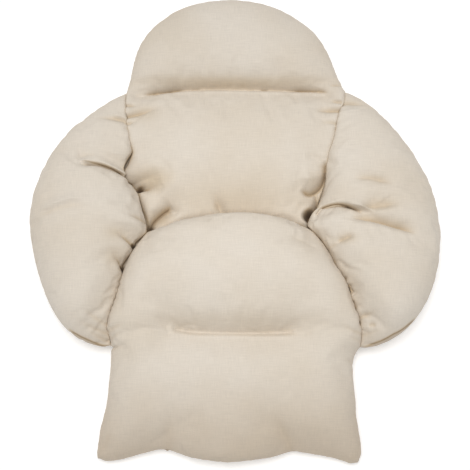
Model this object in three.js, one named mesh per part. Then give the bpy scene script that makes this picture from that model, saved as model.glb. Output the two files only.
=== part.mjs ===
// A lounging cushion for a hanging chair: headrest and back in one pad, two arm pads,
// and a seat pad that runs on into a leg rest. The four filled pads are sewn edge to edge.
// It lies on its back on a flat surface. Millimetres, +Z up, +Y towards the headrest, and
// "left" is -X, the left-hand side for someone who stands at the leg rest and looks down.

import * as THREE from "three";
import { mergeVertices } from "three/addons/utils/BufferGeometryUtils.js";

// Driving sizes
const pieceGap = 0.4; // between two pads along the seam that joins them
const clothColour = 0xddd0bc;
const headLeft = 280; // the head's half width on the left, and on the right
const headRight = 272;
const headHeight = 266;
const headSquareness = 2.16; // 2 is an ellipse, more is squarer
const headSkew = -17; // how far the top of the head sits to the left of its base
const headBaseX = 3;
const headBaseY = 356;
const headCornerAngle = 52; // where the side rows end and the top edge begins, in degrees
const headStitch = 50; // height of the head's edge seam
const neckSharpness = 8; // how suddenly the head's sides flare out to meet the arms
const underReach = 60; // how far in from its edges a pad's underside is lifted off the surface
const underRoundness = 0.6;
const foldFloor = 0.6; // folds go no lower than this share of the height at the pad's edge
const channelSharpness = 0.9; // less is a sharper valley along a channel's stitches
const channelRun = 30; // how soon the rows of faces straighten past a channel's ends
const channelRows = 6; // rows of faces that shift to follow a channel, on each side
const overhangEase = 0.5; // less puts an overhang's widest place nearer its edge

const headRows = 11; // rows of faces from the head's corners down to the neck
const backRows = 18; // from the neck down to the seat, shared with both arms
const seatRows = 15; // from the back down to the arms' lower tips, shared with both arms
const legRows = 13; // from the arms' lower tips to the leg rest's free edge
const bodyColumns = 28; // across the back and the seat
const armColumns = 16; // across an arm
const edgeCrowding = 0.42; // spacing of the rows next to an edge, as a share of the average

// Seams between two pads. A row is a point of the stitching: its place, the height of the
// stitching, the height up to which the pads press together, and how far the pressed
// faces lean sideways on the way up.
const leftBackSeam = [
  { x: -289, y: 352, stitch: 46, press: 62, leanX: 0, leanY: 0 },
  { x: -290, y: 296, stitch: 46, press: 86, leanX: 0, leanY: 0 },
  { x: -283, y: 246, stitch: 45, press: 92, leanX: 0, leanY: 0 },
  { x: -275, y: 204, stitch: 44, press: 94, leanX: 0, leanY: 0 },
  { x: -267, y: 171, stitch: 43, press: 88, leanX: 0, leanY: 0 },
  { x: -279, y: 145, stitch: 42, press: 80, leanX: 2, leanY: 0 },
  { x: -288, y: 118, stitch: 42, press: 78, leanX: 8, leanY: 0 },
  { x: -285, y: 84, stitch: 42, press: 82, leanX: 22, leanY: 0 },
  { x: -267, y: 40, stitch: 42, press: 82, leanX: 18, leanY: 0 },
  { x: -247, y: 2, stitch: 42, press: 84, leanX: 12, leanY: 0 },
  { x: -232, y: -38, stitch: 42, press: 84, leanX: 3, leanY: 4 },
];
const rightBackSeam = [
  { x: 293, y: 355, stitch: 46, press: 62, leanX: 0, leanY: 0 },
  { x: 287, y: 320, stitch: 46, press: 80, leanX: 0, leanY: 0 },
  { x: 270, y: 270, stitch: 45, press: 90, leanX: 0, leanY: 0 },
  { x: 262, y: 226, stitch: 44, press: 94, leanX: 0, leanY: 0 },
  { x: 243, y: 166, stitch: 43, press: 86, leanX: 0, leanY: 0 },
  { x: 238, y: 110, stitch: 42, press: 76, leanX: 0, leanY: 0 },
  { x: 227, y: 72, stitch: 42, press: 74, leanX: 0, leanY: 0 },
  { x: 217, y: 38, stitch: 42, press: 74, leanX: -3, leanY: 0 },
  { x: 208, y: 6, stitch: 42, press: 78, leanX: -4, leanY: 0 },
  { x: 200, y: -32, stitch: 42, press: 84, leanX: -2, leanY: 4 },
];
const backSeatSeam = [
  { x: -232, y: -38, stitch: 42, press: 84, leanX: 3, leanY: 4 },
  { x: -192, y: -40, stitch: 40, press: 86, leanX: 0, leanY: 14 },
  { x: -150, y: -38, stitch: 39, press: 88, leanX: 0, leanY: 24 },
  { x: -64, y: -31, stitch: 38, press: 88, leanX: 0, leanY: 32 },
  { x: 10, y: -28, stitch: 38, press: 88, leanX: 0, leanY: 35 },
  { x: 77, y: -29, stitch: 38, press: 88, leanX: 0, leanY: 33 },
  { x: 128, y: -31, stitch: 39, press: 88, leanX: 0, leanY: 25 },
  { x: 168, y: -33, stitch: 40, press: 86, leanX: 0, leanY: 14 },
  { x: 200, y: -32, stitch: 42, press: 84, leanX: -2, leanY: 4 },
];
const leftSeatSeam = [
  { x: -232, y: -38, stitch: 42, press: 84, leanX: 3, leanY: 4 },
  { x: -262, y: -90, stitch: 44, press: 90, leanX: -6, leanY: 0 },
  { x: -286, y: -148, stitch: 46, press: 94, leanX: -4, leanY: 0 },
  { x: -302, y: -197, stitch: 47, press: 94, leanX: 0, leanY: 0 },
  { x: -321, y: -250, stitch: 48, press: 88, leanX: 0, leanY: 0 },
  { x: -328, y: -280, stitch: 48, press: 78, leanX: 0, leanY: 0 },
  { x: -319, y: -302, stitch: 47, press: 66, leanX: 0, leanY: 0 },
  { x: -317, y: -325, stitch: 45, press: 52, leanX: 0, leanY: 0 },
];
const rightSeatSeam = [
  { x: 200, y: -32, stitch: 42, press: 84, leanX: -2, leanY: 4 },
  { x: 219, y: -58, stitch: 43, press: 88, leanX: 4, leanY: 0 },
  { x: 244, y: -102, stitch: 44, press: 92, leanX: 5, leanY: 0 },
  { x: 285, y: -166, stitch: 46, press: 94, leanX: 3, leanY: 0 },
  { x: 299, y: -206, stitch: 47, press: 92, leanX: 0, leanY: 0 },
  { x: 320, y: -264, stitch: 48, press: 84, leanX: 0, leanY: 0 },
  { x: 323, y: -296, stitch: 47, press: 70, leanX: 0, leanY: 0 },
  { x: 319, y: -329, stitch: 45, press: 52, leanX: 0, leanY: 0 },
];

// Free edges, where the front cloth meets the back cloth in one seam
const leftArmEdge = [
  { x: -289, y: 352, stitch: 46 },
  { x: -306, y: 350, stitch: 48 },
  { x: -336, y: 336, stitch: 50 },
  { x: -405, y: 281, stitch: 54 },
  { x: -468, y: 216, stitch: 56 },
  { x: -521, y: 111, stitch: 58 },
  { x: -540, y: 14, stitch: 60 },
  { x: -524, y: -99, stitch: 60 },
  { x: -484, y: -205, stitch: 60 },
  { x: -433, y: -283, stitch: 58 },
  { x: -374, y: -317, stitch: 52 },
  { x: -317, y: -325, stitch: 45 },
];
const rightArmEdge = [
  { x: 293, y: 355, stitch: 46 },
  { x: 314, y: 353, stitch: 48 },
  { x: 343, y: 337, stitch: 50 },
  { x: 406, y: 283, stitch: 54 },
  { x: 469, y: 200, stitch: 56 },
  { x: 520, y: 96, stitch: 58 },
  { x: 539, y: -14, stitch: 60 },
  { x: 532, y: -112, stitch: 60 },
  { x: 498, y: -211, stitch: 60 },
  { x: 441, y: -286, stitch: 58 },
  { x: 377, y: -324, stitch: 52 },
  { x: 319, y: -329, stitch: 45 },
];
const leftLegEdge = [
  { x: -317, y: -325, stitch: 45 },
  { x: -318, y: -366, stitch: 44 },
  { x: -322, y: -411, stitch: 42 },
  { x: -328, y: -470, stitch: 38 },
  { x: -346, y: -555, stitch: 30 },
  { x: -355, y: -592, stitch: 24 },
  { x: -344, y: -612, stitch: 20 },
];
const rightLegEdge = [
  { x: 319, y: -329, stitch: 45 },
  { x: 306, y: -350, stitch: 44 },
  { x: 303, y: -400, stitch: 42 },
  { x: 310, y: -468, stitch: 38 },
  { x: 317, y: -545, stitch: 30 },
  { x: 320, y: -600, stitch: 24 },
  { x: 308, y: -620, stitch: 20 },
];
const legEndEdge = [
  { x: -344, y: -612, stitch: 20 },
  { x: -292, y: -608, stitch: 22 },
  { x: -230, y: -595, stitch: 26 },
  { x: -177, y: -587, stitch: 30 },
  { x: -100, y: -602, stitch: 30 },
  { x: -15, y: -607, stitch: 30 },
  { x: 80, y: -603, stitch: 30 },
  { x: 143, y: -589, stitch: 30 },
  { x: 200, y: -595, stitch: 26 },
  { x: 258, y: -605, stitch: 22 },
  { x: 308, y: -620, stitch: 20 },
];

// How high each pad is filled, from its first row of faces (0) to its last (1)
const backFill = [
  { at: 0, crown: 92 },
  { at: 0.16, crown: 118 },
  { at: 0.32, crown: 128 },
  { at: 0.42, crown: 112 },
  { at: 0.52, crown: 122 },
  { at: 0.72, crown: 126 },
  { at: 0.9, crown: 112 },
  { at: 1, crown: 100 },
];
const seatFill = [
  { at: 0, crown: 150 },
  { at: 0.1, crown: 172 },
  { at: 0.3, crown: 180 },
  { at: 0.42, crown: 170 },
  { at: 0.52, crown: 140 },
  { at: 0.66, crown: 128 },
  { at: 0.84, crown: 118 },
  { at: 1, crown: 90 },
];
const leftArmFill = [
  { at: 0, crown: 66 },
  { at: 0.1, crown: 108 },
  { at: 0.22, crown: 128 },
  { at: 0.31, crown: 138 },
  { at: 0.38, crown: 166 },
  { at: 0.52, crown: 174 },
  { at: 0.72, crown: 170 },
  { at: 0.88, crown: 138 },
  { at: 1, crown: 64 },
];
const rightArmFill = [
  { at: 0, crown: 66 },
  { at: 0.1, crown: 108 },
  { at: 0.24, crown: 136 },
  { at: 0.4, crown: 150 },
  { at: 0.5, crown: 164 },
  { at: 0.6, crown: 174 },
  { at: 0.74, crown: 170 },
  { at: 0.88, crown: 138 },
  { at: 1, crown: 64 },
];

// Sewn channels: a line of stitches that draws the front cloth down to a height
const headChannel = {
  through: [[-262, 340], [-157, 357], [0, 364], [120, 358], [236, 345]],
  height: 62,
  spread: 34,
  fade: 34,
};
const seatChannel = {
  through: [[-168, -285], [-100, -293], [0, -297], [90, -295], [158, -290]],
  height: 96,
  spread: 36,
  fade: 62,
};

// Folds of the cover. A row runs along from, via and to; depth is positive for a trough and
// negative for a ridge; the two widths are on its left and right hand, looking from "from".
const backFolds = [
  { from: [-284, 262], via: [-235, 278], to: [-186, 290], depth: 9, left: 20, right: 22 },
  { from: [270, 300], via: [238, 306], to: [190, 300], depth: 8, left: 20, right: 20 },
  { from: [-286, 116], via: [-250, 110], to: [-200, 120], depth: 13, left: 20, right: 20 },
  { from: [-262, 80], via: [-228, 72], to: [-185, 78], depth: 20, left: 18, right: 22 },
  { from: [-224, -18], via: [-190, 4], to: [-152, 44], depth: 24, left: 20, right: 22 },
  { from: [238, 130], via: [206, 96], to: [160, 104], depth: 24, left: 22, right: 26 },
  { from: [216, 56], via: [196, 56], to: [170, 46], depth: 12, left: 20, right: 20 },
];
const seatFolds = [
  { from: [-150, -596], via: [-156, -530], to: [-168, -446], depth: 12, left: 24, right: 34 },
  { from: [136, -592], via: [120, -540], to: [70, -452], depth: 12, left: 34, right: 26 },
];
const leftArmFolds = [
  { from: [-284, 116], via: [-340, 138], to: [-412, 146], depth: 38, left: 15, right: 30 },
  { from: [-284, 286], via: [-322, 298], to: [-376, 290], depth: 9, left: 20, right: 20 },
  { from: [-262, 172], via: [-300, 178], to: [-344, 192], depth: -8, left: 22, right: 20 },
  { from: [-330, 60], via: [-420, 72], to: [-510, 22], depth: 7, left: 26, right: 22 },
  { from: [-246, -58], via: [-278, -40], to: [-322, -34], depth: 22, left: 22, right: 20 },
  { from: [-280, -126], via: [-304, -108], to: [-340, -104], depth: 16, left: 20, right: 20 },
];
const rightArmFolds = [
  { from: [208, 6], via: [248, 46], to: [362, 8], depth: 42, left: 32, right: 15 },
  { from: [270, 8], via: [370, -34], to: [500, -76], depth: 18, left: 24, right: 26 },
  { from: [300, 106], via: [352, 106], to: [410, 90], depth: 14, left: 20, right: 24 },
  { from: [290, 316], via: [330, 320], to: [376, 296], depth: 9, left: 20, right: 20 },
  { from: [242, 168], via: [282, 152], to: [322, 150], depth: -8, left: 20, right: 20 },
  { from: [228, -62], via: [262, -46], to: [302, -38], depth: 18, left: 20, right: 20 },
  { from: [322, -266], via: [350, -262], to: [384, -266], depth: 12, left: 20, right: 20 },
];

// Shares of the way from 0 to 1, closer together at the start, the end or both
function shares(count, crowdStart, crowdEnd) {
  const start = crowdStart ? edgeCrowding : 1;
  const end = crowdEnd ? edgeCrowding : 1;
  return Array.from({ length: count + 1 }, (_, i) => {
    const t = i / count;
    return (t ** 3 - 2 * t * t + t) * start + (3 - 2 * t) * t * t + (t ** 3 - t * t) * end;
  });
}

// Samples of a seam or edge at shares of its length: foot is on the stitching, and
// shoulder is where the cloth of the front leaves the neighbouring pad.
function rim(rows, steps) {
  const place = new THREE.CatmullRomCurve3(
    rows.map((row) => new THREE.Vector3(row.x, row.y, row.stitch)), false, "centripetal");
  const rise = new THREE.CatmullRomCurve3(rows.map((row) => new THREE.Vector3(
    row.x + (row.leanX ?? 0), row.y + (row.leanY ?? 0), row.press ?? row.stitch)),
  false, "centripetal");
  return steps.map((share) => {
    const along = place.getUtoTmapping(share);
    return { foot: place.getPoint(along), shoulder: rise.getPoint(along) };
  });
}

// The head's outline is a squared half ellipse that leans a little to one side
function headPoint(degrees) {
  const angle = THREE.MathUtils.degToRad(degrees);
  const bend = (value) => Math.sign(value) * Math.abs(value) ** (2 / headSquareness);
  const up = bend(Math.sin(angle));
  const halfWidth = degrees < 90 ? headRight : headLeft;
  const x = headBaseX + headSkew * up + halfWidth * bend(Math.cos(angle));
  const point = new THREE.Vector3(x, headBaseY + headHeight * up, headStitch);
  return { foot: point, shoulder: point.clone() };
}

function headArc(fromDegrees, toDegrees, steps) {
  return steps.map((share) => headPoint(THREE.MathUtils.lerp(fromDegrees, toDegrees, share)));
}

// The head's side runs down its arc and flares out to meet the arm at the neck
function headSide(fromDegrees, neckDegrees, neck) {
  const arc = headArc(fromDegrees, neckDegrees, shares(headRows, true, true));
  const flare = neck.foot.x - arc[headRows].foot.x;
  return arc.map((sample, i) => {
    const pull = (i / headRows) ** neckSharpness;
    const foot = sample.foot.clone();
    foot.x += flare * pull;
    foot.y += (neck.foot.y - arc[headRows].foot.y) * pull;
    foot.z = THREE.MathUtils.lerp(foot.z, neck.foot.z, pull);
    const shoulder = foot.clone();
    shoulder.z = THREE.MathUtils.lerp(foot.z, neck.shoulder.z, pull);
    return { foot, shoulder };
  });
}

// A smooth value between the rows of a table
function fillAt(table, at) {
  let i = 0;
  while (i < table.length - 2 && at > table[i + 1].at) i++;
  const share = (at - table[i].at) / (table[i + 1].at - table[i].at);
  return THREE.MathUtils.lerp(table[i].crown, table[i + 1].crown,
    THREE.MathUtils.smoothstep(share, 0, 1));
}

// Distance in plan from (x, y) to a line through points, with the side it lies on and
// how far along the line its nearest point is
function nearest(points, x, y) {
  let best = { distance: Infinity, side: 1, along: 0 };
  for (let i = 0; i + 1 < points.length; i++) {
    const [ax, ay] = points[i];
    const dx = points[i + 1][0] - ax;
    const dy = points[i + 1][1] - ay;
    const raw = ((x - ax) * dx + (y - ay) * dy) / (dx * dx + dy * dy || 1);
    const share = Math.min(1, Math.max(0, raw));
    const distance = Math.hypot(x - ax - share * dx, y - ay - share * dy);
    if (distance < best.distance) {
      const side = Math.sign(dx * (y - ay) - dy * (x - ax)) || 1;
      best = { distance, side, along: (i + share) / (points.length - 1) };
    }
  }
  return best;
}

// A channel with its line of stitches, and the row of faces that follows it
function channelLine(channel, row) {
  const curve = new THREE.CatmullRomCurve3(channel.through.map(([x, y]) => new THREE.Vector3(x, y, 0)));
  return { ...channel, row, points: curve.getPoints(24).map((point) => [point.x, point.y]) };
}

function foldLine(fold) {
  const curve = new THREE.QuadraticBezierCurve3(
    new THREE.Vector3(...fold.from, 0), new THREE.Vector3(...fold.via, 0),
    new THREE.Vector3(...fold.to, 0));
  return { ...fold, line: curve.getPoints(8).map((point) => [point.x, point.y]) };
}

// How much all the folds take off the front cloth's height at (x, y)
function foldDepth(folds, x, y) {
  return folds.reduce((sum, fold) => {
    const near = nearest(fold.line, x, y);
    const width = near.side > 0 ? fold.left : fold.right;
    const taper = Math.sqrt(Math.max(0, 1 - near.along ** 2));
    return sum + fold.depth * taper * Math.exp(-((near.distance / width) ** 2));
  }, 0);
}

// A channel's pull on the front cloth: 1 on the stitches, 0 away from them
function channelPull(channel, x, y) {
  const across = nearest(channel.points, x, y).distance / channel.spread;
  const past = Math.max(0, channel.points[0][0] - x, x - channel.points.at(-1)[0]) / channel.fade;
  return Math.exp(-(across ** channelSharpness) - past ** 2);
}

// Rises from 0 at an edge to 1 at reach; a roundness of 0.5 is a quarter circle
function swell(distance, reach, roundness) {
  const share = Math.min(1, distance / reach);
  return (1 - (1 - share) ** 2) ** roundness;
}

// Moves the samples of a closed loop of edges inwards by half the gap between pieces
function drawIn(loop) {
  const centre = loop.reduce((sum, p) => sum.add(p), new THREE.Vector3()).divideScalar(loop.length);
  const turn = Math.sign(loop.reduce((sum, p, i) => {
    const q = loop[(i + 1) % loop.length];
    return sum + (p.x - centre.x) * (q.y - centre.y) - (q.x - centre.x) * (p.y - centre.y);
  }, 0));
  return loop.map((p, i) => {
    const inward = new THREE.Vector2();
    for (const [a, b] of [[neighbour(loop, i, -1), p], [p, neighbour(loop, i, 1)]]) {
      inward.add(new THREE.Vector2(a.y - b.y, b.x - a.x).normalize().multiplyScalar(turn));
    }
    inward.normalize().multiplyScalar(pieceGap / 2);
    return new THREE.Vector3(p.x + inward.x, p.y + inward.y, p.z);
  });
}

// The next point of a loop, past any that lie on the same spot
function neighbour(loop, i, step) {
  for (let k = 1; k < loop.length; k++) {
    const p = loop[(i + step * k + loop.length * k) % loop.length];
    if (Math.hypot(p.x - loop[i].x, p.y - loop[i].y) > 0.01) return p;
  }
  return loop[i];
}

// How far along its length each point of an edge is, from 0 to 1
function lengthShares(line) {
  const lengths = [0];
  for (let i = 1; i < line.length; i++) {
    lengths.push(lengths[i - 1] + Math.hypot(line[i].x - line[i - 1].x, line[i].y - line[i - 1].y));
  }
  const whole = lengths.at(-1);
  return lengths.map((length, i) => (whole > 1 ? length / whole : crowded[line.length - 1][i]));
}

// The inside of a patch from its four edges, each a list of points
function patch(edges) {
  const rows = edges.left.length - 1;
  const columns = edges.top.length - 1;
  const [downLeft, downRight] = [lengthShares(edges.left), lengthShares(edges.right)];
  const [acrossTop, acrossBottom] = [lengthShares(edges.top), lengthShares(edges.bottom)];
  return edges.left.map((_, i) => edges.top.map((_, j) => {
    const s = (downLeft[i] + downRight[i]) / 2;
    const t = (acrossTop[j] + acrossBottom[j]) / 2;
    const across = edges.left[i].clone().lerp(edges.right[i], t);
    const down = edges.top[j].clone().lerp(edges.bottom[j], s);
    const corners = edges.left[0].clone().lerp(edges.right[0], t)
      .lerp(edges.left[rows].clone().lerp(edges.right[rows], t), s);
    return across.add(down).sub(corners);
  }));
}

// Slides the rows near a channel so that one row of points lies on its stitches
function followChannel(grid, channel) {
  const { points, row } = channel;
  const shifts = grid[row].map((p) => {
    const x = Math.min(points.at(-1)[0], Math.max(points[0][0], p.x));
    let i = 0;
    while (i < points.length - 2 && x > points[i + 1][0]) i++;
    const share = (x - points[i][0]) / (points[i + 1][0] - points[i][0]);
    const past = Math.abs(p.x - x) / channelRun;
    return (THREE.MathUtils.lerp(points[i][1], points[i + 1][1], share) - p.y) * Math.exp(-past);
  });
  for (let i = row - channelRows + 1; i < row + channelRows; i++) {
    const hold = THREE.MathUtils.smoothstep(1 - Math.abs(i - row) / channelRows, 0, 1);
    grid[i].forEach((p, j) => { p.y += shifts[j] * hold; });
  }
}

const sides = ["top", "right", "bottom", "left"];

// The four edges of a pad's front ("shoulder") or back ("foot"), drawn in from its neighbours
function edgesOf(shape, key) {
  const columns = shape.top.length - 1;
  const rows = shape.left.length - 1;
  const loop = drawIn([
    ...shape.top.map((sample) => sample[key]),
    ...shape.right.slice(1).map((sample) => sample[key]),
    ...shape.bottom.slice(0, -1).reverse().map((sample) => sample[key]),
    ...shape.left.slice(1, -1).reverse().map((sample) => sample[key]),
  ]);
  return {
    top: loop.slice(0, columns + 1),
    right: loop.slice(columns, columns + rows + 1),
    bottom: loop.slice(columns + rows, 2 * columns + rows + 1).reverse(),
    left: [loop[0], ...loop.slice(2 * columns + rows + 1).reverse(), loop[2 * columns + rows]],
  };
}

function planLines(edges) {
  return Object.fromEntries(sides.map((side) => [side, edges[side].map((p) => [p.x, p.y])]));
}

// The front cloth swells up from the shoulders, drawn down by channels and folds
function frontCloth(shape) {
  const edges = edgesOf(shape, "shoulder");
  const lines = planLines(edges);
  const front = patch(edges);
  const lastRow = front.length - 1;
  for (const channel of shape.channels) followChannel(front, channel);
  front.forEach((line, i) => line.forEach((p) => {
    const edgeHeight = p.z;
    let swelling = 1;
    const bulge = new THREE.Vector2();
    for (const [side, feel] of Object.entries(shape.feel)) {
      const near = nearest(lines[side], p.x, p.y);
      swelling *= swell(near.distance, feel.reach, feel.roundness);
      const out = Math.sin(Math.PI * Math.min(1, near.distance / feel.reach) ** overhangEase);
      if (feel.bulge) bulge.add(feel.bulge(near.along).multiplyScalar(out));
    }
    let height = edgeHeight + (fillAt(shape.fill, i / lastRow) - edgeHeight) * swelling;
    for (const channel of shape.channels) {
      const pull = channelPull(channel, p.x, p.y);
      height += (Math.min(height, channel.height) - height) * pull;
    }
    const depth = foldDepth(shape.folds, p.x, p.y) * Math.min(1, swelling * 2);
    p.set(p.x + bulge.x, p.y + bulge.y, Math.max(edgeHeight * foldFloor, height - depth));
  }));
  return front;
}

// The back cloth lies flat on the surface and is drawn up to the stitching all round
function backCloth(shape) {
  const edges = edgesOf(shape, "foot");
  const lines = planLines(edges);
  const back = patch(edges);
  for (const p of back.flat()) {
    const lift = Object.keys(shape.feel).reduce((product, side) =>
      product * swell(nearest(lines[side], p.x, p.y).distance, underReach, underRoundness), 1);
    p.z = lift > 0.999 ? 0 : p.z * (1 - lift);
  }
  return back;
}

// Joins the front, the back and the pressed faces between them into one closed mesh
function pad(name, shape) {
  const front = frontCloth(shape);
  const back = backCloth(shape);
  const faces = [];
  const quad = (a, b, c, d) => faces.push(a, b, c, a, c, d);
  const rows = front.length - 1;
  const columns = front[0].length - 1;
  for (let i = 0; i < rows; i++) {
    for (let j = 0; j < columns; j++) {
      quad(front[i][j], front[i + 1][j], front[i + 1][j + 1], front[i][j + 1]);
      quad(back[i][j], back[i][j + 1], back[i + 1][j + 1], back[i + 1][j]);
    }
  }
  for (let i = 0; i < rows; i++) {
    quad(back[i][0], back[i + 1][0], front[i + 1][0], front[i][0]);
    quad(back[i][columns], front[i][columns], front[i + 1][columns], back[i + 1][columns]);
  }
  for (let j = 0; j < columns; j++) {
    quad(back[0][j], front[0][j], front[0][j + 1], back[0][j + 1]);
    quad(back[rows][j], back[rows][j + 1], front[rows][j + 1], front[rows][j]);
  }
  const geometry = new THREE.BufferGeometry().setFromPoints(faces);
  const merged = mergeVertices(geometry, 0.01);
  const index = [];
  for (let k = 0; k < merged.index.count; k += 3) {
    const [a, b, c] = [0, 1, 2].map((n) => merged.index.getX(k + n));
    if (a !== b && b !== c && a !== c) index.push(a, b, c);
  }
  merged.setIndex(index);
  merged.computeVertexNormals();
  const material = new THREE.MeshStandardMaterial({ color: clothColour, roughness: 0.92, metalness: 0 });
  const mesh = new THREE.Mesh(merged, material);
  mesh.name = name;
  return mesh;
}

const crowded = { [armColumns]: shares(armColumns, true, true) };

const seams = {
  leftBack: rim(leftBackSeam, shares(backRows, true, true)),
  rightBack: rim(rightBackSeam, shares(backRows, true, true)),
  backSeat: rim(backSeatSeam, shares(bodyColumns, true, true)),
  leftSeat: rim(leftSeatSeam, shares(seatRows, true, false)),
  rightSeat: rim(rightSeatSeam, shares(seatRows, true, false)),
};

function headAndBack() {
  const left = headSide(180 - headCornerAngle, 180, seams.leftBack[0]);
  const right = headSide(headCornerAngle, 0, seams.rightBack[0]);
  return pad("head_and_back", {
    top: headArc(180 - headCornerAngle, headCornerAngle, shares(bodyColumns, true, true)),
    left: [...left, ...seams.leftBack.slice(1)],
    right: [...right, ...seams.rightBack.slice(1)],
    bottom: seams.backSeat,
    feel: {
      top: { reach: 120, roundness: 0.5 },
      left: { reach: 110, roundness: 0.62 },
      right: { reach: 110, roundness: 0.62 },
      bottom: { reach: 150, roundness: 0.95 },
    },
    fill: backFill,
    channels: [channelLine(headChannel, headRows)],
    folds: backFolds.map(foldLine),
  });
}

function seatAndLegRest() {
  return pad("seat_and_leg_rest", {
    top: seams.backSeat,
    left: [...seams.leftSeat, ...rim(leftLegEdge, shares(legRows, false, true)).slice(1)],
    right: [...seams.rightSeat, ...rim(rightLegEdge, shares(legRows, false, true)).slice(1)],
    bottom: rim(legEndEdge, shares(bodyColumns, true, true)),
    feel: {
      top: { reach: 100, roundness: 0.5, bulge: rearBulge },
      left: { reach: 110, roundness: 0.55 },
      right: { reach: 110, roundness: 0.55 },
      bottom: { reach: 125, roundness: 0.5, bulge: bellyBulge },
    },
    fill: seatFill,
    channels: [channelLine(seatChannel, seatRows - 2)],
    folds: seatFolds.map(foldLine),
  });
}

// The seat swells over the seam that joins it to the back, most in the middle
function rearBulge(along) {
  return new THREE.Vector2(0, 24 * Math.sin(Math.PI * along) ** 0.7);
}

// The filling hangs over the leg rest's end seam between two drawn-in places
function bellyBulge(along) {
  const from = 0.26;
  const to = 0.74;
  const share = Math.min(1, Math.max(0, (along - from) / (to - from)));
  return new THREE.Vector2(0, -26 * Math.sin(Math.PI * share) ** 0.6);
}

function arm(name, backSeam, seatSeam, edge, fill, folds, mirrored) {
  const inner = [...backSeam, ...seatSeam.slice(1)];
  const outer = rim(edge, shares(inner.length - 1, true, true));
  const tip = (sample) => Array.from({ length: armColumns + 1 }, () => sample);
  const inside = { reach: 80, roundness: 0.5 };
  const outside = { reach: 120, roundness: 0.5 };
  return pad(name, {
    top: tip(inner[0]),
    bottom: tip(inner.at(-1)),
    left: mirrored ? inner : outer,
    right: mirrored ? outer : inner,
    feel: { left: mirrored ? inside : outside, right: mirrored ? outside : inside },
    fill,
    channels: [],
    folds: folds.map(foldLine),
  });
}

// Puts the middle of the cushion's outline over the origin
function centred(pads) {
  const box = new THREE.Box3();
  for (const mesh of pads) box.expandByObject(mesh);
  const middle = box.getCenter(new THREE.Vector3());
  for (const mesh of pads) mesh.geometry.translate(-middle.x, -middle.y, 0);
  return pads;
}

const cushion = new THREE.Group();
cushion.add(...centred([
  headAndBack(),
  seatAndLegRest(),
  arm("arm_left", seams.leftBack, seams.leftSeat, leftArmEdge, leftArmFill, leftArmFolds, false),
  arm("arm_right", seams.rightBack, seams.rightSeat, rightArmEdge, rightArmFill, rightArmFolds, true),
]));

export default cushion;
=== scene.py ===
import math
import time
from functools import partial
from types import SimpleNamespace

import bpy
import numpy as np
from mathutils import Matrix, Vector
from mathutils.bvhtree import BVHTree


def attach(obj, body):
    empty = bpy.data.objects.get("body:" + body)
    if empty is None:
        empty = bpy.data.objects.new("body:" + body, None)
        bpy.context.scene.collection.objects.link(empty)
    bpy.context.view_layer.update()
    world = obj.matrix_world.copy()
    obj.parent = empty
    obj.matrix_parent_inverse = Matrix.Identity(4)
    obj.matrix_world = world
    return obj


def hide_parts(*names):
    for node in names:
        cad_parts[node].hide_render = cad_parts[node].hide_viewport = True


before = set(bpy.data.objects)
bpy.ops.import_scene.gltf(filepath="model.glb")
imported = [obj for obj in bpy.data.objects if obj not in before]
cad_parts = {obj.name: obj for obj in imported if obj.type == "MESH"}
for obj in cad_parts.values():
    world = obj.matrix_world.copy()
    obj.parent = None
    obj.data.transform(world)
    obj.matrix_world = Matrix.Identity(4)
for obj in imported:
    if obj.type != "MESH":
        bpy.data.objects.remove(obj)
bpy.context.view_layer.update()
scene = bpy.context.scene
startTime = time.time()
mm = 0.001


def report(words):
    print(f"[{time.time() - startTime:5.1f} s] {words}")


# Lines of stitching. A row is x, y and height in millimetres.
# A valley is where two pads press together, as it shows from the front.
leftBackValley = [
    (-289, 352, 62), (-290, 296, 86), (-283, 246, 92), (-275, 204, 94), (-267, 171, 88), (-277, 145, 80),
    (-280, 118, 78), (-263, 84, 82), (-249, 40, 82), (-235, 2, 84), (-229, -34, 84)]
rightBackValley = [
    (293, 355, 62), (287, 320, 80), (270, 270, 90), (262, 226, 94), (243, 166, 86), (238, 110, 76),
    (227, 72, 74), (214, 38, 74), (204, 6, 78), (198, -28, 84)]
backSeatValley = [
    (-229, -34, 84), (-192, -26, 86), (-150, -14, 88), (-64, 1, 88), (10, 7, 88), (77, 4, 88), (128, -6, 88),
    (168, -19, 86), (198, -28, 84)]
leftSeatValley = [
    (-229, -34, 84), (-268, -90, 90), (-290, -148, 94), (-302, -197, 94), (-321, -250, 88), (-328, -280, 78),
    (-319, -302, 66), (-317, -325, 52)]
rightSeatValley = [
    (198, -28, 84), (223, -58, 88), (249, -102, 92), (288, -166, 94), (299, -206, 92), (320, -264, 84),
    (323, -296, 70), (319, -329, 52)]
# A rim is a free edge, where the front cloth is joined to the back cloth.
headRim = [
    (-289, 352, 46), (-279, 384, 50), (-275, 421, 50), (-261, 478, 50), (-227, 535, 50), (-154, 594, 50),
    (-14, 622, 50), (126, 593, 50), (204, 535, 50), (243, 478, 50), (266, 421, 50), (275, 388, 50),
    (293, 355, 46)]
leftArmRim = [
    (-289, 352, 46), (-306, 350, 48), (-336, 336, 50), (-405, 281, 54), (-468, 216, 56), (-521, 111, 58),
    (-540, 14, 60), (-524, -99, 60), (-484, -205, 60), (-433, -283, 58), (-374, -317, 52), (-317, -325, 45)]
rightArmRim = [
    (293, 355, 46), (314, 353, 48), (343, 337, 50), (406, 283, 54), (469, 200, 56), (520, 96, 58),
    (539, -14, 60), (532, -112, 60), (498, -211, 60), (441, -286, 58), (377, -324, 52), (319, -329, 45)]
leftLegRim = [
    (-317, -325, 45), (-318, -366, 44), (-322, -411, 42), (-328, -470, 38), (-346, -555, 30),
    (-355, -592, 24), (-344, -612, 20)]
rightLegRim = [
    (319, -329, 45), (306, -350, 44), (303, -400, 42), (310, -468, 38), (317, -545, 30), (320, -600, 24),
    (308, -620, 20)]
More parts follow.
